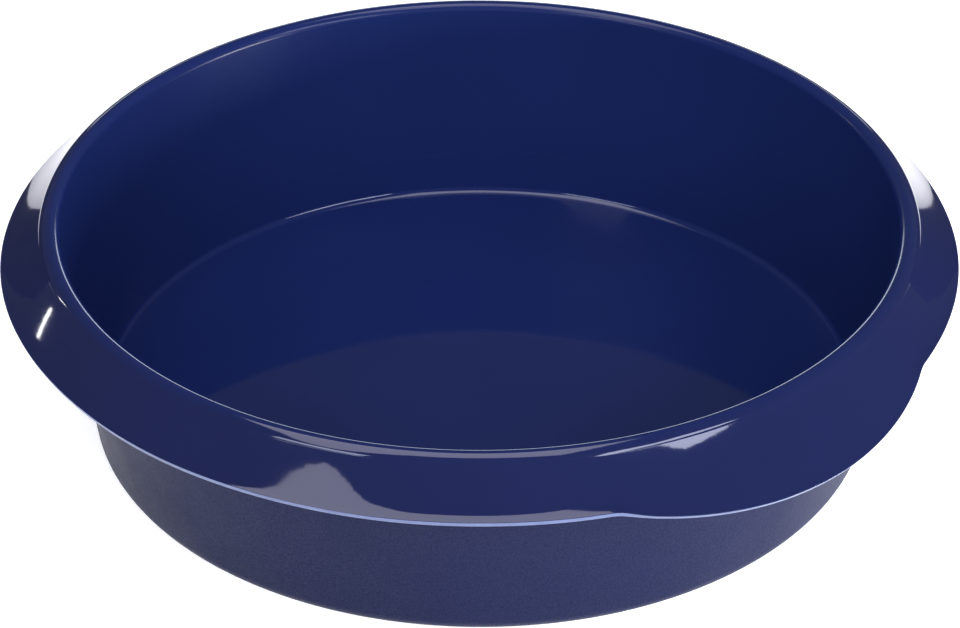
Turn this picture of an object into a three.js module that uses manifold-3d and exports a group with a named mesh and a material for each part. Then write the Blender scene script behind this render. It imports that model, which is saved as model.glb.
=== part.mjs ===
// Round silicone cake pan, nominal 23 cm (9 inch): a deep, drafted pan with a rolled bead at the
// rim, a skirt-like flange that droops outwards from the bead, and two wider grip tabs in the
// flange, opposite each other. A spring-steel hoop is moulded into the bead and keeps the rim round.
// The base stands on a low foot ring. Millimetres, +Z up. Origin: centre of the base, on the surface
// that the pan stands on.
// +X runs through the middle of one grip tab, -X through the other.
import * as THREE from "three";
import { mergeVertices } from "three/addons/utils/BufferGeometryUtils.js";
import Module from "manifold-3d";

// ---- driving dimensions ----
const FLOOR_Z = 5.2; // top of the floor
const PANEL_Z = 2.3; // underside of the base inside the foot ring
const FOOT_IN = [94.4, 97.0]; // foot ring: inner side at the panel and at the ground
const FOOT_OUT_R = 102.6; // outer side of the foot ring, where the heel begins
const HEEL_R = 5.0; // outer radius between base and wall
const HEEL_WALL_R = 107.7; // outer wall radius where the heel ends
const HEEL_IN_R = 2.2; // inner radius between floor and wall
const WALL_IN_LOW = [105.8, 8.6]; // inner wall just above the inner heel
const WALL_OUT_TOP = [115.4, 57.0]; // outer wall where it runs into the underside of the bead
const BEAD_C = [117.05, 61.4]; // centre of the bead's round top
const BEAD_R = 2.6; // radius of the bead's round top
const BEAD_TO_DEG = 171; // where the inner wall leaves the bead
const JOIN_DEG = 75; // where the bead's crest runs into its broader outer flank
const FLANK_R = 4.1; // radius of the outer flank
const FLANK_TO_DEG = 31; // where the flank meets the flange
const UNDER_Z = 58.8; // flat underside of the bead
const FLANGE_OUT = [131.0, 52.3]; // top edge of the flange away from the tabs
const FLANGE_T = 2.0; // flange thickness
const FLANGE_BIAS = 1.22; // 1 is a straight slope, more is a flange that flares out towards its edge
const TAB_REACH = 8.1; // how much further the flange reaches at the middle of a tab, along its slope
const TAB_HALF_DEG = 23.5; // half of the angle that a tab spans
const TAB_SLOPE_DEG = 40; // slope that the tab continues at
const HOOP_R = 117.05; // centreline of the steel hoop
const HOOP_Z = 61.3;
const HOOP_WIRE_R = 1.25; // 2.5 mm wire
const HOOP_GAP = 0.3; // clearance between wire and silicone in the model
const PIN_HOLES = 8; // holes under the bead, left by the pins that hold the hoop in the mould
const PIN_HOLE_R = 1.2;
const SEGMENTS = 120; // steps round the pan
const HOOP_SEGMENTS = 60;

// ---- materials ----
const silicone = new THREE.MeshStandardMaterial({ color: 0x172359, roughness: 0.25, metalness: 0.0 });
const steel = new THREE.MeshStandardMaterial({ color: 0xb9bcc0, roughness: 0.35, metalness: 1.0 });

// ---- solids ----
const wasm = await Module();
wasm.setup();

function solid(geometry) {
  const g = geometry.clone();
  g.deleteAttribute("normal");
  g.deleteAttribute("uv");
  const m = mergeVertices(g, 1e-4);
  return new wasm.Manifold(
    new wasm.Mesh({
      numProp: 3,
      vertProperties: new Float32Array(m.attributes.position.array),
      triVerts: new Uint32Array(m.index.array),
    }),
  );
}

function geometryOf(manifold) {
  const m = manifold.getMesh();
  const v = new Float32Array(m.numVert * 3);
  for (let i = 0; i < m.numVert; i++)
    v.set(m.vertProperties.subarray(i * m.numProp, i * m.numProp + 3), i * 3);
  const g = new THREE.BufferGeometry();
  g.setAttribute("position", new THREE.BufferAttribute(v, 3));
  g.setIndex(new THREE.BufferAttribute(new Uint32Array(m.triVerts), 1));
  g.computeVertexNormals();
  return g;
}

// Points on an arc from angle a0 to a1, in degrees.
function arc(c, r, a0, a1, steps) {
  return Array.from({ length: steps + 1 }, (_, i) => {
    const a = THREE.MathUtils.degToRad(a0 + ((a1 - a0) * i) / steps);
    return [c[0] + r * Math.cos(a), c[1] + r * Math.sin(a)];
  });
}

// The flank is tangent to the bead's crest, and the crease between flank and flange lies at its end.
const join = THREE.MathUtils.degToRad(JOIN_DEG);
const FLANK_C = [
  BEAD_C[0] + (BEAD_R - FLANK_R) * Math.cos(join),
  BEAD_C[1] + (BEAD_R - FLANK_R) * Math.sin(join),
];
const FLANGE_IN = arc(FLANK_C, FLANK_R, FLANK_TO_DEG, JOIN_DEG, 1)[0];

// Top line of the flange at t from 0, the crease, to 1, the edge, and the same line one thickness below.
function flangeTop(t) {
  const run = FLANGE_OUT[0] - FLANGE_IN[0],
    fall = FLANGE_IN[1] - FLANGE_OUT[1];
  return [
    FLANGE_IN[0] + run * t,
    FLANGE_IN[1] - fall * (FLANGE_BIAS * t + (1 - FLANGE_BIAS) * t * t),
  ];
}
function flangeUnder(t) {
  const run = FLANGE_OUT[0] - FLANGE_IN[0],
    fall = FLANGE_IN[1] - FLANGE_OUT[1];
  const slope = (fall * (FLANGE_BIAS + 2 * (1 - FLANGE_BIAS) * t)) / run;
  const n = Math.hypot(1, slope);
  const p = flangeTop(t);
  return [p[0] - (FLANGE_T * slope) / n, p[1] - FLANGE_T / n];
}

// Section of the pan, from the middle of the underside, up the outside, over the rim and down the
// inside to the middle of the floor. The third number says how much of a tab's reach a point takes.
const FLANGE_STEPS = [0.25, 0.5, 0.75, 1];
const reach = (t) => t * t * (3 - 2 * t);
const section = [
  [0, PANEL_Z, 0],
  [FOOT_IN[0], PANEL_Z, 0],
  [FOOT_IN[1], 0, 0],
  ...arc([FOOT_OUT_R, HEEL_R], HEEL_R, -90, -12, 4).map((p) => [...p, 0]),
  [HEEL_WALL_R + 0.55, HEEL_R + 3.6, 0],
  [...WALL_OUT_TOP, 0],
  [115.85, 58.35, 0],
  [116.7, UNDER_Z, 0],
  [119.6, UNDER_Z, 0],
  ...FLANGE_STEPS.map((t) => [...flangeUnder(t), reach(t)]),
  [FLANGE_OUT[0] - 0.1, FLANGE_OUT[1] - 0.95, 1],
  ...[...FLANGE_STEPS].reverse().map((t) => [...flangeTop(t), reach(t)]),
  [...FLANGE_IN, 0],
  ...arc(FLANK_C, FLANK_R, FLANK_TO_DEG, JOIN_DEG, 3)
    .slice(1)
    .map((p) => [...p, 0]),
  ...arc(BEAD_C, BEAD_R, JOIN_DEG, BEAD_TO_DEG, 5)
    .slice(1)
    .map((p) => [...p, 0]),
  [...WALL_IN_LOW, 0],
  ...arc([WALL_IN_LOW[0] - HEEL_IN_R - 0.15, FLOOR_Z + HEEL_IN_R], HEEL_IN_R, -9, -90, 4).map((p) => [...p, 0]),
  [0, FLOOR_Z, 0],
];

// How far a tab reaches past the round flange at an angle from +X: an arc over each tab's span.
function tabReach(angle) {
  const span = THREE.MathUtils.degToRad(TAB_HALF_DEG);
  const off = Math.min(Math.abs(Math.cos(angle)), 1);
  const d = Math.acos(off) / span; // the same for the tab at +X and the one at -X
  return d < 1 ? TAB_REACH * (1 - d * d) : 0;
}

// The pan: the section turned round the axis, with the flange drawn out at the two tabs.
function panShell() {
  const lathe = new THREE.LatheGeometry(
    section.map(([r, z]) => new THREE.Vector2(r, z)),
    SEGMENTS,
    Math.PI / 2,
  );
  lathe.rotateX(Math.PI / 2);
  const pos = lathe.attributes.position;
  const n = section.length;
  const slope = THREE.MathUtils.degToRad(TAB_SLOPE_DEG);
  for (let i = 0; i < pos.count; i++) {
    const share = section[i % n][2];
    if (!share) continue;
    const x = pos.getX(i),
      y = pos.getY(i);
    const angle = Math.atan2(y, x),
      r = Math.hypot(x, y);
    const w = share * tabReach(angle);
    pos.setXYZ(
      i,
      (r + w * Math.cos(slope)) * Math.cos(angle),
      (r + w * Math.cos(slope)) * Math.sin(angle),
      pos.getZ(i) - w * Math.sin(slope),
    );
  }
  return lathe;
}

// A ring of round wire with its middle at the hoop's height.
function ring(wireR, sides) {
  const g = new THREE.TorusGeometry(HOOP_R, wireR, sides, HOOP_SEGMENTS);
  g.translate(0, 0, HOOP_Z);
  return g;
}

let pan = solid(panShell()).subtract(solid(ring(HOOP_WIRE_R + HOOP_GAP, 8)));
for (let k = 0; k < PIN_HOLES; k++) {
  const a = ((k + 0.5) / PIN_HOLES) * 2 * Math.PI;
  const hole = new THREE.CylinderGeometry(PIN_HOLE_R, PIN_HOLE_R, 6, 8);
  hole.rotateX(Math.PI / 2);
  hole.translate(HOOP_R * Math.cos(a), HOOP_R * Math.sin(a), HOOP_Z - 3);
  pan = pan.subtract(solid(hole));
}

// ---- assembly ----
const assembly = new THREE.Group();
assembly.name = "cake_pan";

const panMesh = new THREE.Mesh(geometryOf(pan), silicone);
panMesh.name = "silicone_pan";
assembly.add(panMesh);

const hoopMesh = new THREE.Mesh(ring(HOOP_WIRE_R, 8), steel);
hoopMesh.name = "rim_hoop";
assembly.add(hoopMesh);

export default assembly;
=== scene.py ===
import math

import bmesh
import bpy
import numpy as np
from mathutils import Matrix, Vector


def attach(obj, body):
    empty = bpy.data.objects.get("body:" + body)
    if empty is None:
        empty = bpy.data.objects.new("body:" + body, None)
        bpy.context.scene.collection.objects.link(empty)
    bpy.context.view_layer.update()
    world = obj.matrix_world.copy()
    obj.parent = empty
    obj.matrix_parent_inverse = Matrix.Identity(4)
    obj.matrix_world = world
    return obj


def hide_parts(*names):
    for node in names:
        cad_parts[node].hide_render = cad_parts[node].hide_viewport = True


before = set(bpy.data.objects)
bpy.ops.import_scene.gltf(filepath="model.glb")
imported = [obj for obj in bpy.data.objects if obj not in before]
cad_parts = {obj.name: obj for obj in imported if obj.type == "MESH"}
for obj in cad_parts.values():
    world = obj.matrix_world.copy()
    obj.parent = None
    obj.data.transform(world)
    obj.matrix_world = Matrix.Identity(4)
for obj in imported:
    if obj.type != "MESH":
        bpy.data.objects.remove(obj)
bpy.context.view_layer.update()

MM = 0.001

# ---------------------------------------------------------------- section of the pan, millimetres
FLOOR_Z = 5.2  # top of the floor
PANEL_Z = 2.3  # underside of the base inside the foot ring
FOOT_IN = (94.4, 97.0)  # foot ring: inner side at the panel and at the ground
HEEL_R = 5.0
WALL_SLOPE = 0.1479  # draft of the wall, run over rise
WALL_OUT_R0 = 106.98  # outer wall carried down to z = 0
BEAD_C = (117.05, 61.4)
BEAD_R = 2.6
UNDER_Z = 58.8  # flat underside of the bead
WALL_IN_LOW = (105.8, 8.6)  # inner wall just above the inner heel
JOIN_DEG = 75.0  # where the bead's crest runs into its broader outer flank
FLANK_R = 4.1
FLANK_TO_DEG = 31.0  # where the flank meets the flange
FLANK_C = tuple(c + (BEAD_R - FLANK_R) * f(math.radians(JOIN_DEG)) for c, f in zip(BEAD_C, (math.cos, math.sin)))
FLANGE_IN = tuple(c + FLANK_R * f(math.radians(FLANK_TO_DEG)) for c, f in zip(FLANK_C, (math.cos, math.sin)))
FLANGE_OUT = (131.0, 52.3)
FLANGE_T = 2.0
FLANGE_BIAS = 1.22
FLARE = 0.45  # how much the last quarter of the flange lifts out of its curve
LIP_TOP_R, LIP_UNDER_R, LIP_OUT = 0.14, 0.7, 0.15  # corners of the flange's edge, and how far it stands out
TAB_REACH = 8.1
TAB_HALF_DEG = 23.5
TAB_SLOPE = math.radians(40)
HOOP_R = 117.05
HOOP_Z = 61.3
CHANNEL_R = 1.55
PIN_HOLES = 8
PIN_HOLE_R = 1.2
CREASE_R = 0.6  # fillet between bead and flange
TURNS = 480  # steps round the pan

GLOSS, MATTE, EDGE = 0, 1, 2


def flange_top(t):
    run = FLANGE_OUT[0] - FLANGE_IN[0]
    fall = FLANGE_IN[1] - FLANGE_OUT[1]
    lift = FLARE * max(0.0, (t - 0.75) / 0.25) ** 2
    return (
        FLANGE_IN[0] + run * t,
        FLANGE_IN[1] - (fall + FLARE) * (FLANGE_BIAS * t + (1 - FLANGE_BIAS) * t * t) + lift,
    )


def flange_slope(t, flare=FLARE):
    run = FLANGE_OUT[0] - FLANGE_IN[0]
    fall = FLANGE_IN[1] - FLANGE_OUT[1]
    slope = (fall + FLARE) * (FLANGE_BIAS + 2 * (1 - FLANGE_BIAS) * t) / run
    return slope - 2 * flare * max(0.0, t - 0.75) / 0.0625 / run


def flange_normal(t):
    slope = flange_slope(t)
    n = math.hypot(1, slope)
    return slope / n, 1 / n


def smooth(t):
    t = min(max(t, 0.0), 1.0)
    return t * t * (3 - 2 * t)


def fillet(path, step_deg=7.0):
    """A polyline with each corner (r, z, radius) rounded off."""
    out = [path[0][:2]]
    for a, b, c in zip(path, path[1:], path[2:]):
        p = np.array(b[:2], float)
        u = np.array(a[:2], float) - p
        v = np.array(c[:2], float) - p
        u /= np.linalg.norm(u)
        v /= np.linalg.norm(v)
        half = math.acos(max(-1.0, min(1.0, float(u @ v)))) / 2
        if b[2] <= 0:
            out.append(tuple(p))
            continue
        tangent = b[2] / math.tan(half)
        mid = (u + v) / np.linalg.norm(u + v)
        centre = p + mid * b[2] / math.sin(half)
        s = p + u * tangent - centre
        e = p + v * tangent - centre
        a0 = math.atan2(s[1], s[0])
        da = math.atan2(s[0] * e[1] - s[1] * e[0], float(s @ e))
        n = max(3, int(math.ceil(abs(math.degrees(da)) / step_deg)))
        for i in range(n + 1):
            ang = a0 + da * i / n
            out.append((centre[0] + b[2] * math.cos(ang), centre[1] + b[2] * math.sin(ang)))
    out.append(path[-1][:2])
    return out


def fill(points, most):
    """The same polyline with long spans cut into steps no longer than most."""
    out = [points[0]]
    for p, q in zip(points, points[1:]):
        n = max(1, int(math.ceil(math.dist(p, q) / most)))
        out += [(p[0] + (q[0] - p[0]) * i / n, p[1] + (q[1] - p[1]) * i / n) for i in range(1, n + 1)]
    return out


def section():
    """Points (r, z, share of a tab's reach, finish), up the outside, over the rim and down the inside."""
    pts = []
    wall = lambda z: WALL_OUT_R0 + WALL_SLOPE * z
    under = []
    for i in range(13):
        t = 0.24 + 0.76 * i / 12
        p, n = flange_top(t), flange_normal(t)
        under.append((p[0] - FLANGE_T * n[0], p[1] - FLANGE_T * n[1], smooth(t)))

    outer = [
        (0.0, PANEL_Z, 0),
        (FOOT_IN[0], PANEL_Z, 1.5),
        (FOOT_IN[1], 0.0, 0.9),
        (WALL_OUT_R0, 0.0, HEEL_R),
        (wall(UNDER_Z), UNDER_Z, 1.6),
        (120.0, UNDER_Z, 2.4),
        under[0][:2] + (0,),
    ]
    for r, z in fill(fillet(outer), 4.0):
        pts.append((r, z, 0.0, MATTE))
    pts[-1] = under[0] + (MATTE,)
    for r, z, s in under[1:-1]:
        pts.append((r, z, s, MATTE))

    # edge of the flange: a flat face with a tight corner above and a softer one below
    tip, n = flange_top(1.0), flange_normal(1.0)
    a_top = math.atan2(n[1], n[0])
    for down, radius, start, steps in (
        (FLANGE_T - LIP_UNDER_R, LIP_UNDER_R, -math.pi, 5),
        (LIP_TOP_R, LIP_TOP_R, -math.pi / 2, 6),
    ):
        out = LIP_OUT - radius
        c = (tip[0] - down * n[0] + out * n[1], tip[1] - down * n[1] - out * n[0])
        for i in range(steps + 1):
            a = a_top + start + math.pi / 2 * i / steps
            kind = (MATTE if i < 2 else EDGE) if start < -2 else (EDGE if i < 2 else GLOSS)
            pts.append((c[0] + radius * math.cos(a), c[1] + radius * math.sin(a), 1.0, kind))

    steps = [0.996, 0.97] + [1.0 - 0.92 * i / 14 for i in range(1, 15)]
    top = [flange_top(t) + (smooth(t),) for t in steps]
    for r, z, s in top:
        pts.append((r, z, s, GLOSS))
    # crease: a small fillet that touches both the flange and the bead's flank
    p, q = np.array(top[-1][:2]), np.array(flange_top(0.0))
    along = (q - p) / np.linalg.norm(q - p)
    out = np.array((-along[1], along[0]))
    out = out if out[1] > 0 else -out
    lo, hi = -6.0, 6.0
    for _ in range(60):  # slide the fillet's centre along the flange until it touches the bead
        mid = (lo + hi) / 2
        c = q + along * mid + out * CREASE_R
        if np.linalg.norm(c - np.array(FLANK_C)) > FLANK_R + CREASE_R:
            lo = mid
        else:
            hi = mid
    foot = c - out * CREASE_R
    touch = np.array(FLANK_C) + (c - np.array(FLANK_C)) * FLANK_R / (FLANK_R + CREASE_R)
    pts[:] = [x for x in pts if not (x[3] == GLOSS and x[0] < foot[0] + 0.15 and x[1] > 58.0)]
    a0 = math.atan2(foot[1] - c[1], foot[0] - c[0])
    a1 = math.atan2(touch[1] - c[1], touch[0] - c[0])
    turn = (a1 - a0 + math.pi) % (2 * math.pi) - math.pi
    for i in range(8):
        a = a0 + turn * i / 7
        pts.append((c[0] + CREASE_R * math.cos(a), c[1] + CREASE_R * math.sin(a), 0.0, GLOSS))

    # the bead's flank and crest, up to where the inner wall leaves it
    low = np.array(WALL_IN_LOW)
    d = np.array(BEAD_C) - low
    lean = math.atan2(d[1], d[0]) + math.asin(BEAD_R / np.linalg.norm(d))
    end = lean + math.pi / 2
    start = math.atan2(touch[1] - FLANK_C[1], touch[0] - FLANK_C[0])
    join = math.radians(JOIN_DEG)
    for i in range(1, 15):
        a = start + (join - start) * i / 14
        pts.append((FLANK_C[0] + FLANK_R * math.cos(a), FLANK_C[1] + FLANK_R * math.sin(a), 0.0, GLOSS))
    for i in range(1, 23):
        a = join + (end - join) * i / 22
        pts.append((BEAD_C[0] + BEAD_R * math.cos(a), BEAD_C[1] + BEAD_R * math.sin(a), 0.0, GLOSS))
    last = pts[-1]
    inner = [
        last[:2] + (0,),
        (low[0] - (low[1] - FLOOR_Z) / math.tan(lean), FLOOR_Z, 2.2),
        (0.0, FLOOR_Z, 0),
    ]
    for r, z in fill(fillet(inner), 4.0)[1:]:
        pts.append((r, z, 0.0, GLOSS))
    return pts


def tab_reach(angle):
    """How far the flange reaches past its round edge: an arc over each tab, with small fillets at its ends."""
    d = math.degrees(math.acos(min(abs(math.cos(angle)), 1.0))) / TAB_HALF_DEG
    w = TAB_REACH * (1 - d * d)
    s = 0.22
    if w < -8 * s:
        return 0.0
    return w if w > 12 * s else s * math.log1p(math.exp(w / s))


def waver(r, z, angle):
    """Slow unevenness of the soft moulding: (radial, vertical) in millimetres."""
    rim = smooth((r - 119.0) / 12.0)
    lip = 0.16 * math.sin(3 * angle + 0.7) + 0.10 * math.sin(7 * angle + 2.1) + 0.05 * math.sin(13 * angle + 4.0)
    body = 0.10 * math.sin(2 * angle + 1.1) + 0.05 * math.sin(5 * angle + 0.2)
    height = smooth(z / 40.0) * smooth((r - 95.0) / 12.0)
    return body * height * 0.6, lip * rim


def settle(r, z, angle):
    """How far the outside of the soft wall bulges where the pan stands, in millimetres."""
    return (0.30 + 0.52 * math.cos(angle - math.radians(6))) * smooth((r - 96.0) / 6.0) * smooth((58.0 - z) / 6.0)


def lift(a):
    """Share of the flange's flare at an angle: all of it along the front, none at the back."""
    return smooth((math.cos(a - math.radians(-39)) + 0.1) / 0.5)


def pan_mesh():
    pts = section()
    n = len(pts)
    lip = flange_top(1.0)
    lip_turn = math.atan(flange_slope(1.0, 0.0)) - math.atan(flange_slope(1.0))
    verts, faces, finish = [], [], []
    rings = []
    for k, (r, z, share, kind) in enumerate(pts):
        if r < 1e-6:
            rings.append([len(verts)])
            verts.append((0.0, 0.0, z * MM))
            continue
        ring = []
        for j in range(TURNS):
            a = 2 * math.pi * j / TURNS
            w = share * tab_reach(a) if share else 0.0
            dr, dz = waver(r, z, a)
            if kind == MATTE and not share:
                dr += settle(r, z, a)
            rr = r + w * math.cos(TAB_SLOPE) + dr
            zz = z - w * math.sin(TAB_SLOPE) + dz
            flat = max(smooth(w / 2.5), 1.0 - lift(a))
            if share and flat:  # the edge flares along the front, but not on the tabs
                t = 1.0 if share == 1.0 else (r - FLANGE_IN[0]) / (FLANGE_OUT[0] - FLANGE_IN[0])
                zz -= FLARE * max(0.0, (t - 0.75) / 0.25) ** 2 * flat
                if share == 1.0:
                    x, y, turn = r - lip[0], z - lip[1], -lip_turn * flat
                    rr += x * math.cos(turn) - y * math.sin(turn) - x
                    zz += x * math.sin(turn) + y * math.cos(turn) - y
            ring.append(len(verts))
            verts.append((rr * math.cos(a) * MM, rr * math.sin(a) * MM, zz * MM))
        rings.append(ring)
    for k in range(n - 1):
        p, q = rings[k], rings[k + 1]
        m = pts[k][3]
        for j in range(TURNS):
            i = (j + 1) % TURNS
            if len(p) == 1:
                faces.append((p[0], q[i], q[j]))
            elif len(q) == 1:
                faces.append((p[j], p[i], q[0]))
            else:
                faces.append((p[j], p[i], q[i], q[j]))
            finish.append(m)
    mesh = bpy.data.meshes.new("pan_body")
    mesh.from_pydata(verts, [], faces)
    mesh.polygons.foreach_set("material_index", finish)
    mesh.validate()
    return mesh


def link(name, mesh):
    o = bpy.data.objects.new(name, mesh)
    bpy.context.scene.collection.objects.link(o)
    return o


def channel_cutter():
    """The hoop's channel in the bead, as one closed mesh; the pin holes that run down from it are made by pin_cutter.
    """
    bm = bmesh.new()
    around, sides = 160, 16
    grid = []
    for i in range(around):
        a = 2 * math.pi * i / around
        row = []
        for k in range(sides):
            b = 2 * math.pi * k / sides
            r = HOOP_R + CHANNEL_R * math.cos(b)
            row.append(bm.verts.new((r * math.cos(a) * MM, r * math.sin(a) * MM, (HOOP_Z + CHANNEL_R * math.sin(b)) * MM)))
        grid.append(row)
    for i in range(around):
        for k in range(sides):
            i2, k2 = (i + 1) % around, (k + 1) % sides
            bm.faces.new((grid[i][k], grid[i2][k], grid[i2][k2], grid[i][k2]))
    mesh = bpy.data.meshes.new("channel")
    bm.to_mesh(mesh)
    bm.free()
    return mesh


def pin_cutter(index):
    a = 2 * math.pi * (index + 0.5) / PIN_HOLES
    bm = bmesh.new()
    sides = 20
    x, y = HOOP_R * math.cos(a), HOOP_R * math.sin(a)
    rows = []
    for z in (HOOP_Z - 6.0, HOOP_Z):
        rows.append([
            bm.verts.new(((x + PIN_HOLE_R * math.cos(2 * math.pi * k / sides)) * MM,
                          (y + PIN_HOLE_R * math.sin(2 * math.pi * k / sides)) * MM, z * MM))
            for k in range(sides)
        ])
    for k in range(sides):
        k2 = (k + 1) % sides
        bm.faces.new((rows[0][k], rows[0][k2], rows[1][k2], rows[1][k]))
    bm.faces.new(list(reversed(rows[0])))
    bm.faces.new(rows[1])
    mesh = bpy.data.meshes.new("pin")
    bm.to_mesh(mesh)
    bm.free()
    return mesh


# ---------------------------------------------------------------- materials
def material(name):
    m = bpy.data.materials.new(name)
    m.use_nodes = True
    t = m.node_tree
    t.nodes.clear()
    out = t.nodes.new("ShaderNodeOutputMaterial")
    bsdf = t.nodes.new("ShaderNodeBsdfPrincipled")
    t.links.new(bsdf.outputs[0], out.inputs[0])
    coord = t.nodes.new("ShaderNodeTexCoord")
    return m, t, bsdf, coord.outputs["Object"]


def noise(t, coord, scale, detail=3.0, rough=0.5):
    n = t.nodes.new("ShaderNodeTexNoise")
    n.inputs["Scale"].default_value = scale
    n.inputs["Detail"].default_value = detail
    n.inputs["Roughness"].default_value = rough
    t.links.new(coord, n.inputs["Vector"])
    return n.outputs["Fac"]


def ramp(t, fac, *stops):
    r = t.nodes.new("ShaderNodeValToRGB")
    e = r.color_ramp.elements
    while len(e) < len(stops):
        e.new(0.5)
    for el, (pos, col) in zip(e, stops):
        el.position = pos
        el.color = (*col, 1.0) if len(col) == 3 else col
    t.links.new(fac, r.inputs[0])
    return r.outputs["Color"]


def spread(t, fac, lo, hi, low=0.3, high=0.7):
    m = t.nodes.new("ShaderNodeMapRange")
    m.inputs["From Min"].default_value = low
    m.inputs["From Max"].default_value = high
    m.inputs["To Min"].default_value = lo
    m.inputs["To Max"].default_value = hi
    t.links.new(fac, m.inputs["Value"])
    return m.outputs["Result"]


def bump(t, height, distance, strength=1.0, normal=None):
    b = t.nodes.new("ShaderNodeBump")
    b.inputs["Distance"].default_value = distance
    b.inputs["Strength"].default_value = strength
    t.links.new(height, b.inputs["Height"])
    if normal is not None:
        t.links.new(normal, b.inputs["Normal"])
    return b.outputs["Normal"]


def gloss_silicone():
    m, t, s, co = material("silicone_gloss")
    # a finer polish on the rim, the flange and the floor than on the inner wall
    flat = t.nodes.new("ShaderNodeVectorMath")
    flat.operation = "MULTIPLY"
    flat.inputs[1].default_value = (1.0, 1.0, 0.0)
    t.links.new(co, flat.inputs[0])
    radius = t.nodes.new("ShaderNodeVectorMath")
    radius.operation = "LENGTH"
    t.links.new(flat.outputs[0], radius.inputs[0])
    # painted shade: the flange's base colour is painted darker and greyer than the inside's, standing in for the
    # stronger top light that falls on it
    cloud = noise(t, co, 22.0, 4.0)
    inside = ramp(t, cloud, (0.30, (0.0052, 0.0111, 0.058)), (0.70, (0.0060, 0.0122, 0.064)))
    flange = ramp(t, cloud, (0.30, (0.0055, 0.0082, 0.036)), (0.70, (0.0063, 0.0092, 0.041)))
    tone = t.nodes.new("ShaderNodeMix")
    tone.data_type = "RGBA"
    # past the bead's crest the painted shade of the flange takes over
    t.links.new(spread(t, radius.outputs["Value"], 0.0, 1.0, 0.1165, 0.1195), tone.inputs["Factor"])
    t.links.new(inside, tone.inputs[6])
    t.links.new(flange, tone.inputs[7])
    t.links.new(tone.outputs[2], s.inputs["Base Color"])
    add = t.nodes.new("ShaderNodeMath")
    add.operation = "ADD"
    t.links.new(spread(t, noise(t, co, 60.0, 5.0, 0.6), 0.035, 0.07), add.inputs[0])
    wall = t.nodes.new("ShaderNodeMath")
    wall.operation = "MULTIPLY"
    t.links.new(spread(t, radius.outputs["Value"], 0.0, 0.27, 0.1055, 0.1075), wall.inputs[0])
    t.links.new(spread(t, radius.outputs["Value"], 1.0, 0.0, 0.1140, 0.1165), wall.inputs[1])
    t.links.new(wall.outputs[0], add.inputs[1])
    t.links.new(add.outputs[0], s.inputs["Roughness"])
    t.links.new(spread(t, wall.outputs[0], 0.5, 0.14, 0.0, 0.25), s.inputs["Specular IOR Level"])
    slow = bump(t, noise(t, co, 14.0, 1.0), 0.00035, 0.6)
    fine = bump(t, noise(t, co, 420.0, 2.0), 0.000012, 0.5, slow)
    t.links.new(fine, s.inputs["Normal"])
    s.inputs["IOR"].default_value = 1.42
    return m


def matte_silicone():
    m, t, s, co = material("silicone_matte")
    speck = ramp(t, noise(t, co, 2300.0, 2.0, 0.6), (0.38, (0.0036, 0.0060, 0.030)), (0.62, (0.0048, 0.0078, 0.038)))
    t.links.new(speck, s.inputs["Base Color"])
    t.links.new(spread(t, noise(t, co, 45.0, 4.0), 0.44, 0.54), s.inputs["Roughness"])
    slow = bump(t, noise(t, co, 30.0, 2.0), 0.0004, 0.4)
    grain = bump(t, noise(t, co, 2100.0, 2.0, 0.6), 0.00010, 1.0, slow)
    t.links.new(grain, s.inputs["Normal"])
    s.inputs["IOR"].default_value = 1.42
    # specks that catch the light
    t.links.new(spread(t, noise(t, co, 1900.0, 1.0), 0.12, 0.20, 0.36, 0.64), s.inputs["Specular IOR Level"])
    s.inputs["Sheen Weight"].default_value = 0.02
    s.inputs["Sheen Roughness"].default_value = 0.4
    return m


def edge_silicone():
    """The trimmed edge of the flange, where the mould halves meet: rougher than the rest, and painted paler as a
    painted sheen for the light the edge catches.
    """
    m, t, s, co = material("silicone_edge_painted_sheen")
    # painted sheen: this pale blue stands in for the light and sheen that the edge catches
    tone = ramp(t, noise(t, co, 160.0, 4.0), (0.30, (0.060, 0.084, 0.180)), (0.70, (0.084, 0.112, 0.225)))
    t.links.new(tone, s.inputs["Base Color"])
    t.links.new(spread(t, noise(t, co, 500.0, 3.0), 0.30, 0.42), s.inputs["Roughness"])
    t.links.new(bump(t, noise(t, co, 900.0, 2.0), 0.00004, 0.5), s.inputs["Normal"])
    s.inputs["IOR"].default_value = 1.42
    return m


def wire_steel():
    m, t, s, co = material("hoop_steel")
    tone = ramp(t, noise(t, co, 900.0, 3.0), (0.3, (0.46, 0.47, 0.49)), (0.7, (0.60, 0.61, 0.63)))
    t.links.new(tone, s.inputs["Base Color"])
    t.links.new(spread(t, noise(t, co, 300.0, 4.0), 0.26, 0.42), s.inputs["Roughness"])
    t.links.new(bump(t, noise(t, co, 2500.0, 2.0), 0.00002, 0.5), s.inputs["Normal"])
    s.inputs["Metallic"].default_value = 1.0
    return m


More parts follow.
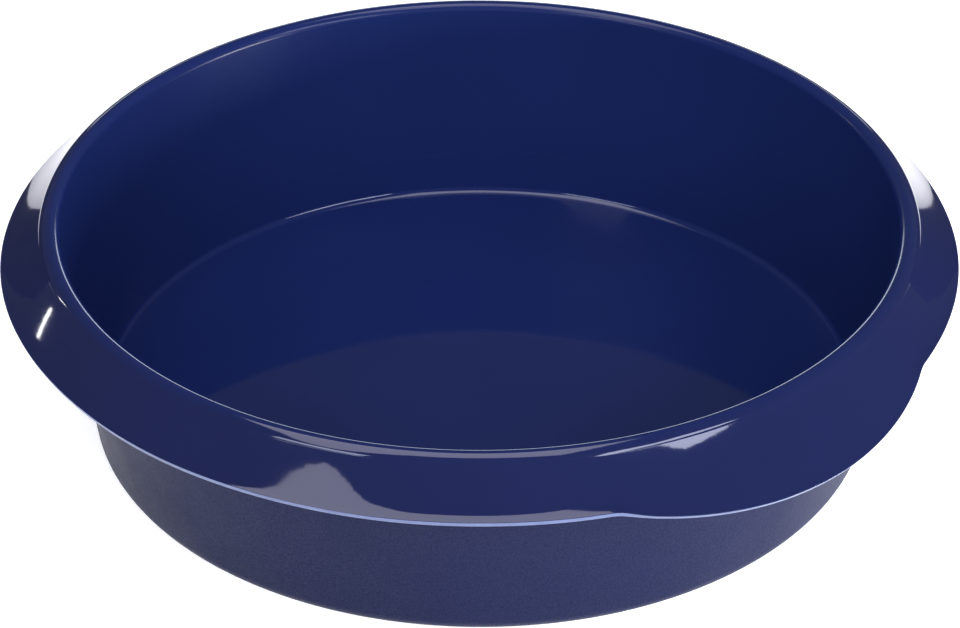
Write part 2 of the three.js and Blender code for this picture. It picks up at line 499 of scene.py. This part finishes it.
def floor_paper():
    m, t, s, co = material("floor_paper")
    near = t.nodes.new("ShaderNodeVectorMath")
    near.operation = "LENGTH"
    t.links.new(co, near.inputs[0])
    tone = ramp(t, noise(t, co, 3.0, 3.0), (0.3, (0.90, 0.90, 0.905)), (0.7, (0.92, 0.92, 0.925)))
    t.links.new(tone, s.inputs["Base Color"])
    s.inputs["Roughness"].default_value = 0.9
    s.inputs["Specular IOR Level"].default_value = 0.1
    # a light table: the sheet glows round the pan, more so at the right
    s.inputs["Emission Color"].default_value = (1.0, 1.0, 1.0, 1.0)
    across = t.nodes.new("ShaderNodeVectorMath")
    across.operation = "DOT_PRODUCT"
    across.inputs[1].default_value = (0.629, 0.777, 0.0)
    t.links.new(co, across.inputs[0])
    glow = t.nodes.new("ShaderNodeMath")
    glow.operation = "MULTIPLY"
    t.links.new(spread(t, near.outputs["Value"], 1.0, 0.0, 0.32, 0.42), glow.inputs[0])
    t.links.new(spread(t, across.outputs["Value"], 0.36, 0.90, -0.14, 0.16), glow.inputs[1])
    t.links.new(glow.outputs[0], s.inputs["Emission Strength"])
    return m


# ---------------------------------------------------------------- the pan
gloss, matte, edge, steel = gloss_silicone(), matte_silicone(), edge_silicone(), wire_steel()

pan = link("pan_body", pan_mesh())
pan.data.materials.append(gloss)
pan.data.materials.append(matte)
pan.data.materials.append(edge)

cutters = [link("cut_channel", channel_cutter())] + [link(f"cut_pin_{k}", pin_cutter(k)) for k in range(PIN_HOLES)]
for c in cutters:
    c.data.materials.append(gloss)
    c.data.materials.append(matte)
    c.data.polygons.foreach_set("material_index", [MATTE] * len(c.data.polygons))
    mod = pan.modifiers.new(c.name, "BOOLEAN")
    mod.operation = "DIFFERENCE"
    mod.solver = "EXACT"
    mod.object = c
bpy.context.view_layer.update()
evaluated = pan.evaluated_get(bpy.context.evaluated_depsgraph_get())
cut = bpy.data.meshes.new_from_object(evaluated)
pan.modifiers.clear()
pan.data = cut
pan.data.name = "pan_body"
for c in cutters:
    bpy.data.objects.remove(c)
pan.data.polygons.foreach_set("use_smooth", [True] * len(pan.data.polygons))
pan.data.set_sharp_from_angle(angle=math.radians(38))
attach(pan, "root")
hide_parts("silicone_pan")

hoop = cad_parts["rim_hoop"]
hoop.data.materials.clear()
hoop.data.materials.append(steel)


# ---------------------------------------------------------------- floor, light, camera
def quad(name, corners):
    mesh = bpy.data.meshes.new(name)
    mesh.from_pydata([tuple(c) for c in corners], [], [(0, 1, 2, 3)])
    return link(name, mesh)


UNDER = -0.0002  # the floor lies just under the foot ring
floor = quad("floor", [(-4, -4, UNDER), (4, -4, UNDER), (4, 4, UNDER), (-4, 4, UNDER)])
floor.data.materials.append(floor_paper())

# The camera's own directions on the ground, used to place the lights.
AZ = math.radians(51.0)
BACK = Vector((math.sin(AZ), -math.cos(AZ), 0.0))  # towards the camera
RIGHT = Vector((math.cos(AZ), math.sin(AZ), 0.0))
UP = Vector((0, 0, 1))


def studio(right, back, up):
    return RIGHT * right + BACK * back + UP * up


def area(name, at, aim, size, power, roll=0.0):
    light = bpy.data.lights.new(name, "AREA")
    light.shape = "RECTANGLE"
    light.size, light.size_y = size
    light.energy = power
    o = bpy.data.objects.new(name, light)
    o.location = at
    z = (Vector(at) - Vector(aim)).normalized()
    q = z.to_track_quat("Z", "Y")
    o.rotation_mode = "QUATERNION"
    o.rotation_quaternion = q @ Matrix.Rotation(roll, 3, "Z").to_quaternion()
    o.visible_camera = False
    bpy.context.scene.collection.objects.link(o)
    return o


centre = Vector((0, 0, 0.05))


def card(name, corners, strength, colour=(1.0, 1.0, 1.0)):
    """A flat softbox of any outline: a glowing sheet that the camera itself doesn't see."""
    mesh = bpy.data.meshes.new(name)
    mesh.from_pydata([tuple(c) for c in corners], [], [tuple(range(len(corners)))])
    m = bpy.data.materials.new(name)
    m.use_nodes = True
    t = m.node_tree
    t.nodes.clear()
    out = t.nodes.new("ShaderNodeOutputMaterial")
    glow = t.nodes.new("ShaderNodeEmission")
    glow.inputs["Color"].default_value = (*colour, 1.0)
    glow.inputs["Strength"].default_value = strength
    t.links.new(glow.outputs[0], out.inputs["Surface"])
    mesh.materials.append(m)
    o = link(name, mesh)
    o.visible_camera = False
    return o


def towards(az_deg, el_deg, distance):
    """A place seen from the pan at an azimuth, from straight behind it to the right, and an elevation."""
    a, e = math.radians(az_deg), math.radians(el_deg)
    return studio(distance * math.sin(a) * math.cos(e), -distance * math.cos(a) * math.cos(e), 0.06 + distance * math.sin(e))


# the top softbox, with its long corner over the front left, and the key softbox at the front right
TOP = [
    (-0.90, -1.02), (-0.80, -1.00), (-0.68, -0.92), (-0.52, -0.77), (-0.36, -0.60), (-0.24, -0.45), (0.08, -0.45),
    (0.22, -0.50), (0.33, -0.58), (0.33, 0.45), (-0.55, 0.45), (-0.70, -0.16), (-0.95, -0.73), (-0.96, -0.92),
]
card("softbox_top", [studio(x, -y, 1.36) for x, y in TOP], 4.9, (0.90, 0.88, 1.0))
KEY = [(152, 25), (152, 29), (148, 36), (143, 39.5), (133, 39), (125, 42), (121, 40), (115, 36), (114, 30), (140, 29)]
card("softbox_key", [towards(a, e, 1.53) for a, e in KEY], 15.0, (0.77, 0.81, 1.0))
strip = area("softbox_left", towards(-140, 33.0, 1.53), centre, (0.54, 0.25), 4.3)
strip.data.color = (0.75, 0.80, 1.0)
area("strip_left", towards(-60, 14.0, 1.52), centre, (0.02, 0.21), 0.4)
strip = area("strip_back", studio(0.0, -1.3, 0.25), centre, (1.0, 0.2), 3.5)
strip.data.color = (0.78, 0.86, 1.0)
strip = area("side_right", studio(1.05, 0.40, 0.10), studio(0.1, 0.03, 0.03), (0.36, 0.14), 17.0)
strip.data.color = (0.88, 0.92, 1.0)
# black flags low at both sides: they keep the far floor out of the flange's reflections
for side in (-1, 1):
    name = "flag_right" if side > 0 else "flag_left"
    bend = [math.radians(14 + 52 * i / 12) for i in range(13)]
    ends = [(side * 0.39 * math.sin(a), -0.39 * math.cos(a)) for a in bend]
    sheet = bpy.data.meshes.new(name)
    sheet.from_pydata(
        [tuple(studio(x, y, z)) for z in (0.0, 0.11) for x, y in ends], [], [(i, i + 1, i + 14, i + 13) for i in range(12)]
    )
    black = bpy.data.materials.new(name)
    black.use_nodes = True
    cloth = black.node_tree.nodes["Principled BSDF"]
    cloth.inputs["Base Color"].default_value = (0.03, 0.03, 0.035, 1.0)
    cloth.inputs["Roughness"].default_value = 1.0
    cloth.inputs["Specular IOR Level"].default_value = 0.0
    flag = link(name, sheet)
    flag.data.materials.append(black)
    flag.visible_camera = False
    flag.visible_diffuse = False
    flag.visible_shadow = False
# lights that shape no reflection: front fill, and light for the white floor
for name, at, aim, size, power in (
    ("fill_front", studio(-0.1, 1.5, 0.70), centre, (1.2, 0.9), 27.0),
    ("floor_left", studio(-0.70, -0.35, 0.55), studio(-0.62, -0.32, 0), (0.7, 0.7), 0.8),
    ("floor_right", studio(0.70, -0.35, 0.55), studio(0.62, -0.32, 0), (0.7, 0.7), 2.0),
):
    area(name, at, aim, size, power).visible_glossy = False

world = bpy.data.worlds.new("studio")
world.use_nodes = True
bg = world.node_tree.nodes["Background"]
bg.inputs["Color"].default_value = (0.95, 0.97, 1.0, 1)
bg.inputs["Strength"].default_value = 0.14
bpy.context.scene.world = world
bpy.context.scene.view_settings.view_transform = "Standard"

cam = bpy.data.cameras.new("camera")
cam.sensor_fit = "HORIZONTAL"
cam.sensor_width = 36.0
cam.lens = 155.29
camera = bpy.data.objects.new("camera", cam)
bpy.context.scene.collection.objects.link(camera)
ELEV = math.radians(32.905)
target = Vector((0, 0, 0.02911)) + RIGHT * 0.00011
back = BACK * math.cos(ELEV) + UP * math.sin(ELEV)
camera.location = target + back * 1.150
camera.rotation_mode = "QUATERNION"
camera.rotation_quaternion = back.to_track_quat("Z", "Y")
bpy.context.scene.camera = camera
